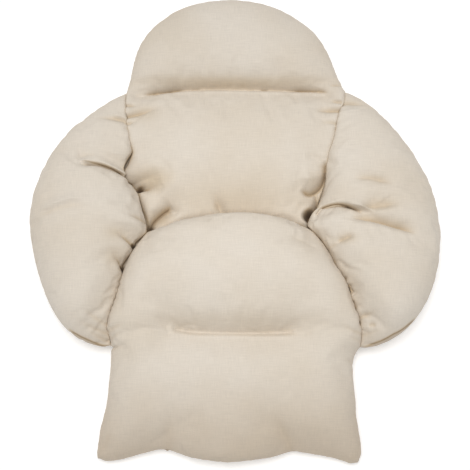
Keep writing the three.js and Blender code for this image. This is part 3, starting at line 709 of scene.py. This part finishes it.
backPad = {
    "node": "head_and_back", "slot": "cover_back", "spareCloth": 0.012, "fill": 0.75,
    "rims": [{"line": headRim, "window": 80,
              "proud": [(0, 2), (0.1, 1), (0.32, -3), (0.42, -1), (0.6, -1), (0.68, -3), (0.78, 1), (1, 2)]}],
    "tips": [(-289, 352, 46, 45, 0.85), (293, 355, 46, 45, 0.85)],
    "seams": [
        shoulder(leftBackValley, (0, 2, 0.3, 6, 24, 0.3), (0.12, 3, 0.3, 14, 30, 0.4),
                 (0.38, 3, 0.3, 14, 30, 0.4), (0.45, 2, 0.9, 8, 24), (0.53, 8, 1, 2, 18),
                 (0.585, 17, 1, 0, 18), (0.61, 15, 0.9, -2, 15), (0.67, 0, 0.8, -8, 15),
                 (0.72, -2, 0.8, -12, 15), (0.95, -2, 0.9, -14, 15), (1, -4, 1, -16, 15)),
        shoulder(rightBackValley, (0, 2, 0.3, 6, 24, 0.3), (0.1, 3, 0.3, 14, 30, 0.4),
                 (0.5, 3, 0.4, 14, 30, 0.4), (0.56, 1, 0.6, 4, 24), (0.64, 0, 0.6, -6, 18),
                 (0.76, 0, 0.6, -11, 16), (0.9, -4, 1, -14, 15), (1, -6, 1, -16, 15)),
        shoulder(backSeatValley, (0, -2, 1, -12, 15), (0.12, 0, 0.85, -12, 12), (0.88, 0, 0.85, -12, 12),
                 (1, -5, 1, -14, 15)),
    ],
    "shadePatches": [(0, 50, 240, 60, 0.24), (-212, 100, 52, 34, 0.42), (-196, 4, 40, 24, 0.42),
                    (212, 90, 34, 34, 0.18), (0, 374, 210, 14, 0.34), (-240, 285, 40, 26, 0.2),
                    (-46, 38, 18, 26, 0.34)],
    "channels": [{"line": headStitching, "depth": 16, "above": 10, "below": 4, "lip": 3, "fadeIn": 75,
                  "dark": 0.3}],
    "hems": [],
    "pits": [(-250, 84, 11, 7, 10, 28), (-226, -20, 11, 8, 0, 32), (200, 14, 20, 12, 15, 48)],
    "swells": [(0, 420, 190, 40, 4), (0, 28, 160, 32, -6), (0, 392, 190, 22, 3)],
    "gathers": [
        (leftBackValley, 26, 26, 6, 1.8, 0, 0.45),
        (rightBackValley, 26, 26, 6, 1.8, 0, 0.45),
        (backSeatValley, 14, 22, 8, 1.4, 0, 1),
        (headStitching, 34, 18, 6, 1.2, 0, 1),
        (headRim, 10, 26, 9, 0.5, 0, 1),
    ],
    "folds": [
        wrinkle(9, 3.5, 3.5, (-248, 344), (-200, 353), (-158, 360), (-130, 362), full=0.6),
        wrinkle(9, 3.5, 3.5, (150, 360), (200, 357), (232, 353), (250, 346), full=0.6),
        wrinkle(6, 4, 4, (246, 364), (266, 366), (285, 367)),
        crease(11, 7, 6, (-286, 307), (-272, 307), (-252, 309)),
        crease(15, 10, 6, (-285, 274), (-269, 278), (-229, 290), (-184, 305)),
        crease(9, 6, 6, (-284, 254), (-272, 256), (-256, 261)),
        crease(9, 5, 5, (276, 316), (262, 318), (246, 323)),
        crease(14, 6, 9, (274, 291), (245, 291), (204, 291)),
        crease(8, 6, 6, (268, 253), (244, 256), (220, 258)),
        crease(14, 12, 14, (-270, 100), (-216, 111), (-172, 124)),
        crease(24, 12, 8, (-262, 86), (-231, 80), (-196, 90), lap=5, ridge=3, dark=0.75),
        crease(30, 13, 16, (-230, -26), (-215, -4), (-200, 12), (-184, 25), (-162, 38),
               lap=4, ridge=2, full=0.8, dark=0.85),
        wrinkle(8, 9, 10, (-176, 34), (-160, 26), (-144, 10)),
        crease(14, 8, 14, (-31, 12), (-44, 39), (-56, 72)),
        crease(-22, 22, 26, (238, 130), (221, 116), (202, 107), (182, 103), (160, 104), full=0.6),
        wrinkle(20, 8, 10, (237, 156), (234, 112), (225, 90), (210, 75), (190, 68), (168, 78),
                full=0.7, dark=0.75),
        wrinkle(12, 6, 7, (208, 78), (214, 60), (217, 34)),
        crease(22, 9, 9, (217, 34), (201, 18), (172, 16), ridge=2),
        crease(20, 9, 9, (206, -10), (190, 8), (170, 16)),
        crease(4, 8, 9, (190, -30), (140, -10), (100, 12)),
        wrinkle(-3, 12, 12, (-190, 372), (-168, 384), (-146, 380)),
    ],
}
pads = [seatPad, leftArm, rightArm, backPad]

cadTrees = {name: treeOf(node) for name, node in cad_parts.items()}
for pad in pads:
    piece = copyNode(pad["node"], pad["node"] + "_cover")
    applyModifier(piece, "REMESH", mode="VOXEL", voxel_size=clothSettings["grain"] * mm)
    applyModifier(piece, "SMOOTH", factor=0.5, iterations=2)
    pad["piece"] = piece
    addCloth(piece, pad)
report("pads cut and pinned")
for number in range(1, clothSettings["frames"] + 1):
    scene.frame_set(number)
for pad in pads:
    settleCloth(pad["piece"])
scene.frame_set(1)

rng = np.random.default_rng(7)
madeTrees = []
for pad in pads:
    piece = pad["piece"]
    applyModifier(piece, "SMOOTH", factor=0.4, iterations=1)
    shapeSwells(piece, pad["swells"])
    applyModifier(piece, "SUBSURF", levels=1, render_levels=1)
    thinUnderside(piece)
    refineCreases(piece, pad)
    markPaintedShade(piece, pad)
    for channel in pad["channels"]:
        sewChannel(piece, channel)
    layFolds(piece, pad["folds"])
    for row in pad["gathers"]:
        gatherSeam(piece, rng, *row)
    for seam in pad["seams"]:
        lapSeam(piece, seam, rng)
    sinkPits(piece, pad["pits"])
    for rim in pad["rims"]:
        setOutline(piece, rim)
        sewRim(piece, evenLine(rim), depth=3, width=4)
    for hem in pad["hems"]:
        sewRim(piece, smoothLine([(x, y, 72) for x, y in hem]), depth=2, width=3)
    drawTips(piece, pad["tips"])
    moved = keepClear(piece)
    places = getPlaces(piece)
    madeTrees.append((treeOf(piece), places.min(axis=0), places.max(axis=0)))
    report(f"{piece.name} sewn, {moved} points kept clear")


def newGroup(name, inputs, outputs):
    group = bpy.data.node_groups.new(name, "ShaderNodeTree")
    for label, kind, value in inputs:
        socket = group.interface.new_socket(label, in_out="INPUT", socket_type="NodeSocket" + kind)
        if value is not None:
            socket.default_value = value
    for label, kind in outputs:
        group.interface.new_socket(label, in_out="OUTPUT", socket_type="NodeSocket" + kind)
    return group, group.nodes.new("NodeGroupInput").outputs, group.nodes.new("NodeGroupOutput").inputs


def plug(tree, socket, value):  # a number is set on the socket, anything else is linked to it
    if isinstance(value, (int, float, tuple)):
        socket.default_value = value
    else:
        tree.links.new(value, socket)


def newNode(tree, kind, *values, **settings):  # the values go to its first sockets
    node = tree.nodes.new("ShaderNode" + kind)
    for key, value in settings.items():
        setattr(node, key, value)
    for socket, value in zip(node.inputs, values):
        plug(tree, socket, value)
    return node


def mathNode(tree, operation, a, b=0.0, clamp=False):
    return newNode(tree, "Math", a, b, operation=operation, use_clamp=clamp).outputs[0]


def vectorNode(tree, operation, a, b):
    return newNode(tree, "VectorMath", a, b, operation=operation).outputs[0]


def mixNode(tree, kind, factor, a, b, blend="MIX"):
    node = newNode(tree, "Mix", factor, data_type=kind, blend_type=blend)
    first, result = {"FLOAT": (2, 0), "RGBA": (6, 2)}[kind]  # where the sockets of this kind start
    plug(tree, node.inputs[first], a)
    plug(tree, node.inputs[first + 1], b)
    return node.outputs[result]


def noiseNode(tree, vector, scale, detail=2, output="Fac"):
    node = tree.nodes.new("ShaderNodeTexNoise")
    node.inputs["Scale"].default_value = scale
    node.inputs["Detail"].default_value = detail
    tree.links.new(vector, node.inputs["Vector"])
    return node.outputs[output]


def bumpNode(tree, height, strength, distance, under=None):  # under is the bump that it lies on
    node = tree.nodes.new("ShaderNodeBump")
    node.inputs["Strength"].default_value = strength
    node.inputs["Distance"].default_value = distance * mm
    tree.links.new(height, node.inputs["Height"])
    if under is not None:
        tree.links.new(under, node.inputs["Normal"])
    return node.outputs["Normal"]


# Plain weave on whichever of the three planes the cloth faces, with yarns that wander a little
# and are thick in some places and thin in others
def makeWeave():
    group, given, result = newGroup(
        "plain weave",
        [("Vector", "Vector", None), ("Normal", "Vector", None), ("Yarn Pitch", "Float", 0.0011),
         ("Slub", "Float", 0.5)],
        [("Height", "Float"), ("Yarn Tone", "Float")])
    calc = partial(mathNode, group)
    wander = vectorNode(group, "SUBTRACT", noiseNode(group, given["Vector"], 28, 3, "Color"), (0.5, 0.5, 0.5))
    wander = vectorNode(group, "MULTIPLY", wander, (0.007, 0.007, 0.007))
    x, y, z = newNode(group, "SeparateXYZ", vectorNode(group, "ADD", given["Vector"], wander)).outputs
    nx, ny, nz = (calc("ABSOLUTE", out) for out in newNode(group, "SeparateXYZ", given["Normal"]).outputs)
    flat = calc("GREATER_THAN", nz, 0.6)
    sideways = calc("MULTIPLY", calc("GREATER_THAN", nx, ny), calc("SUBTRACT", 1.0, flat))
    u = mixNode(group, "FLOAT", sideways, x, y)
    v = mixNode(group, "FLOAT", flat, z, y)
    plane = newNode(group, "CombineXYZ", u, v).outputs[0]
    warp = noiseNode(group, vectorNode(group, "MULTIPLY", plane, (520, 34, 1)), 1.0, 3)
    weft = noiseNode(group, vectorNode(group, "MULTIPLY", plane, (28, 430, 1)), 1.0, 3)
    turn = calc("DIVIDE", math.pi, given["Yarn Pitch"])
    across = calc("SINE", calc("MULTIPLY", u, turn))
    along = calc("SINE", calc("MULTIPLY", v, turn))
    yarns = calc("MULTIPLY", calc("MULTIPLY", across, along), 0.4)
    slubs = calc("MULTIPLY", calc("SUBTRACT", calc("ADD", warp, weft), 1.0), given["Slub"])
    plug(group, result["Height"], calc("ADD", calc("ADD", yarns, 0.5), slubs))
    plug(group, result["Yarn Tone"], calc("ADD", slubs, 0.5, clamp=True))
    return group


# Soft creases and dents of cloth that has been sat on
def makeRumple():
    group, given, result = newGroup(
        "soft rumple", [("Vector", "Vector", None), ("Size", "Float", 0.04)], [("Height", "Float")])
    calc = partial(mathNode, group)
    scaled = vectorNode(group, "DIVIDE", given["Vector"], given["Size"])
    dents = noiseNode(group, scaled, 1.0, 3)
    lines = noiseNode(group, vectorNode(group, "MULTIPLY", scaled, (0.6, 2.2, 1)), 1.7, 2)
    ridge = calc("ABSOLUTE", calc("SUBTRACT", lines, 0.5))
    plug(group, result["Height"], calc("ADD", dents, calc("MULTIPLY", ridge, 0.8)))
    return group


# Cotton colour: two tones in large patches, each yarn a little different, a few dark seed specks,
# and painted shade: greyer along the rims and towards the foot, browner down in the creases
def makeTone():
    group, given, result = newGroup(
        "cotton tone",
        [("Vector", "Vector", None), ("Yarn Tone", "Float", 0.5), ("Rim And Foot Shade", "Float", 0.0),
         ("Crease Shade", "Float", 0.0), ("Pale", "Color", (1, 1, 1, 1)), ("Warm", "Color", (1, 1, 1, 1)),
         ("Speck", "Color", (0.5, 0.4, 0.3, 1)), ("Yarn Contrast", "Float", 0.2)],
        [("Color", "Color")])
    calc, mix = partial(mathNode, group), partial(mixNode, group, "RGBA")
    patches = noiseNode(group, given["Vector"], 5.0, 3)
    patches = calc("MULTIPLY", calc("SUBTRACT", patches, 0.35), 3.0, clamp=True)
    base = mix(patches, given["Pale"], given["Warm"])
    yarn = calc("SUBTRACT", given["Yarn Tone"], 0.5)
    yarn = calc("ADD", calc("MULTIPLY", yarn, given["Yarn Contrast"]), 1.0)
    base = mix(1.0, base, newNode(group, "CombineColor", yarn, yarn, yarn).outputs[0], "MULTIPLY")
    specks = noiseNode(group, given["Vector"], 420.0, 1)
    specks = calc("MULTIPLY", calc("SUBTRACT", specks, 0.74), 6.0, clamp=True)
    base = mix(calc("MULTIPLY", specks, 0.35), base, given["Speck"])
    # painted shade along the rims and towards the foot
    base = mix(given["Rim And Foot Shade"], base, (0.81, 0.76, 0.70, 1), "MULTIPLY")
    # painted shade in the creases: brown on the slopes, dark brown down in the gaps
    soft = calc("MULTIPLY", given["Crease Shade"], 2.0, clamp=True)
    base = mix(soft, base, (0.84, 0.76, 0.63, 1), "MULTIPLY")
    deep = calc("MULTIPLY", calc("SUBTRACT", given["Crease Shade"], 0.5), 2.0, clamp=True)
    plug(group, result["Color"], mix(deep, base, (0.36, 0.28, 0.20, 1), "MULTIPLY"))
    return group


weave, rumple, tone = makeWeave(), makeRumple(), makeTone()


def newMaterial(name, roughness):
    material = bpy.data.materials.new(name)
    material.use_nodes = True
    shader = material.node_tree.nodes["Principled BSDF"].inputs
    shader["Roughness"].default_value = roughness
    return material, material.node_tree, shader


def makeCloth(name, values):
    material, tree, shader = newMaterial(name, values["roughness"])
    shader["Sheen Weight"].default_value = values["sheen"]
    shader["Sheen Roughness"].default_value = values["sheenRoughness"]
    shader["Specular IOR Level"].default_value = values["gloss"]
    where = tree.nodes.new("ShaderNodeTexCoord").outputs

    def place(group, sockets):
        node = tree.nodes.new("ShaderNodeGroup")
        node.node_tree = group
        for key, value in {"Vector": where["Object"], **sockets}.items():
            plug(tree, node.inputs[key], value)
        return node.outputs

    def mark(layer):
        return newNode(tree, "Attribute", attribute_name=layer).outputs["Fac"]

    yarns = place(weave, {"Yarn Pitch": values["yarnPitch"] * mm, "Slub": values["slub"],
                          "Normal": where["Normal"]})
    dents = place(rumple, {"Size": values["rumpleSize"] * mm})
    colour = place(tone, {"Pale": values["pale"], "Warm": values["warm"], "Speck": values["speck"],
                          "Yarn Contrast": values["yarnContrast"], "Yarn Tone": yarns["Yarn Tone"],
                          "Rim And Foot Shade": mark("rimAndFootShade"), "Crease Shade": mark("crease")})
    tree.links.new(colour["Color"], shader["Base Color"])
    soft = bumpNode(tree, dents["Height"], values["rumpleBump"], 4)
    tree.links.new(bumpNode(tree, yarns["Height"], values["weaveBump"], 0.25, soft), shader["Normal"])
    return material


cottonCloth = {
    "pale": (0.735, 0.668, 0.580, 1),
    "warm": (0.700, 0.622, 0.520, 1),
    "speck": (0.45, 0.34, 0.22, 1),
    "roughness": 0.94,
    "gloss": 0.2,
    "sheen": 0.10,
    "sheenRoughness": 0.6,
    "yarnPitch": 1.1,     # mm
    "yarnContrast": 0.20,
    "slub": 0.9,
    "weaveBump": 0.30,
    "rumpleBump": 0.18,
    "rumpleSize": 45,     # mm
}
coverCotton = makeCloth("off-white cotton", cottonCloth)
for pad in pads:
    piece = pad["piece"]
    piece.data.materials.clear()
    piece.data.materials.append(coverCotton)
    pickOnly(piece)
    bpy.ops.object.shade_smooth()
    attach(piece, "root")
    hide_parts(pad["node"])
report("cloth on the pads")

thread = {
    "length": 3.4,       # of one stitch, mm
    "thickness": 0.8,    # mm
    "rounding": 0.14,    # of its ends, mm
    "spacing": 4.6,      # mm
    "pale": (0.80, 0.74, 0.65, 1),
    "shade": (0.62, 0.54, 0.44, 1),
    "roughness": 0.7,
    "twist": 1500,       # how fine its fibres are
}


def makeThread():
    material, tree, shader = newMaterial("off-white thread", thread["roughness"])
    fibres = noiseNode(tree, tree.nodes.new("ShaderNodeTexCoord").outputs["Object"], thread["twist"])
    tree.links.new(mixNode(tree, "RGBA", fibres, thread["pale"], thread["shade"]), shader["Base Color"])
    tree.links.new(bumpNode(tree, fibres, 0.4, 0.1), shader["Normal"])
    return material


def makeStitch():  # a short length of thread with rounded ends, along x
    bpy.ops.object.select_all(action="DESELECT")
    bpy.ops.mesh.primitive_cylinder_add(vertices=8, radius=thread["thickness"] * mm / 2,
                                        depth=thread["length"] * mm, rotation=(0, math.pi / 2, 0))
    bpy.ops.object.transform_apply()
    setMode("EDIT")
    bpy.ops.mesh.select_all(action="SELECT")
    bpy.ops.mesh.bevel(offset=thread["rounding"] * mm, segments=1)
    setMode("OBJECT")
    bpy.ops.object.shade_smooth()
    return bpy.context.active_object


# Copies a stitch along a channel, each copy lying on the cloth, and joins the copies
def layStitches(name, pad, line, material):
    stitch = makeStitch()
    tree = treeOf(pad["piece"])
    curve = smoothLine(line, 12)[:, :2]
    along = lengthsAlong(curve)
    count = int(along[-1] / (thread["spacing"] * mm))
    copies = []
    for spot in (np.arange(count) + 0.5) / count * along[-1]:
        start, end = (np.array([np.interp(spot + step, along, axis) for axis in curve.T])
                      for step in (-mm, mm))
        place, normal, index, gap = tree.ray_cast(Vector((*(start + end) / 2, 0.3)), Vector((0, 0, -1)))
        if place is None:
            continue
        across = normal.cross(Vector((*(end - start), 0))).normalized()
        turned = Matrix((across.cross(normal), across, normal)).transposed().to_4x4()
        turned.translation = place + normal * thread["thickness"] * mm / 4
        copy = addObject(name, stitch.data.copy())
        copy.matrix_world = turned
        copies.append(copy)
    bpy.data.objects.remove(stitch)
    pickOnly(copies[0])
    for copy in copies:
        copy.select_set(True)
    bpy.ops.object.join()
    bpy.ops.object.transform_apply()
    row = bpy.context.active_object
    row.data.materials.append(material)
    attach(row, "root")
    report(f"{name}: {len(copies)} stitches")


threadCotton = makeThread()
layStitches("head_stitches", backPad, headStitching, threadCotton)
layStitches("seat_stitches", seatPad, seatStitching, threadCotton)

studio = {
    "floorColour": (0.95, 0.95, 0.95, 1),
    "floorSize": 14,
    "floorGlow": 0.20,      # a light table under the cushion keeps its shadow short
    "sunStrength": 1.35,
    "sunSoftness": 38,      # degrees
    "sunTurn": (-4, -4, 0),
    "spotPower": 85,
    "spotFrom": (-0.08, 0.10, 3.0),
    "spotAt": (0.02, -0.02, 0.1),
    "spotWidth": 38,        # degrees
    "spotSoftness": 0.6,
    "skyStrength": 0.42,
    "cameraAt": (0, -0.037, 0.07),
    "distance": 3.3,
    "tilt": 12,             # how far the camera leans towards the leg rest, degrees
    "lens": 97.2,
}
bpy.ops.object.select_all(action="DESELECT")
bpy.ops.mesh.primitive_plane_add(size=studio["floorSize"], location=(0, 0, -0.5 * mm))
floor = bpy.context.active_object
floor.name = "studio floor"
paint, _, paintShader = newMaterial("pale floor", 0.9)
paintShader["Base Color"].default_value = studio["floorColour"]
paintShader["Emission Color"].default_value = (1, 1, 1, 1)
paintShader["Emission Strength"].default_value = studio["floorGlow"]
floor.data.materials.append(paint)


def addLight(name, kind, power):
    light = addObject(name, bpy.data.lights.new(name, kind))
    light.data.energy = power
    return light


sun = addLight("soft key light", "SUN", studio["sunStrength"])
sun.data.angle = math.radians(studio["sunSoftness"])
sun.rotation_euler = [math.radians(angle) for angle in studio["sunTurn"]]

spot = addLight("soft pool light", "SPOT", studio["spotPower"])
spot.data.spot_size = math.radians(studio["spotWidth"])
spot.data.spot_blend = 1
spot.data.shadow_soft_size = studio["spotSoftness"]
spot.location = studio["spotFrom"]
aim = Vector(studio["spotAt"]) - Vector(studio["spotFrom"])
spot.rotation_euler = aim.to_track_quat("-Z", "Y").to_euler()

world = bpy.data.worlds.new("studio")
scene.world = world
world.use_nodes = True
sky = world.node_tree.nodes["Background"].inputs
sky["Color"].default_value = (1, 1, 1, 1)
sky["Strength"].default_value = studio["skyStrength"]

camera = addObject("camera", bpy.data.cameras.new("camera"))
x, y, z = studio["cameraAt"]
tilt = math.radians(studio["tilt"])
camera.location = (x, y - studio["distance"] * math.sin(tilt), z + studio["distance"] * math.cos(tilt))
camera.rotation_euler = (tilt, 0, 0)
camera.data.lens = studio["lens"]
scene.camera = camera
scene.view_settings.view_transform = "Standard"

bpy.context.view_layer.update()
report("scene ready")
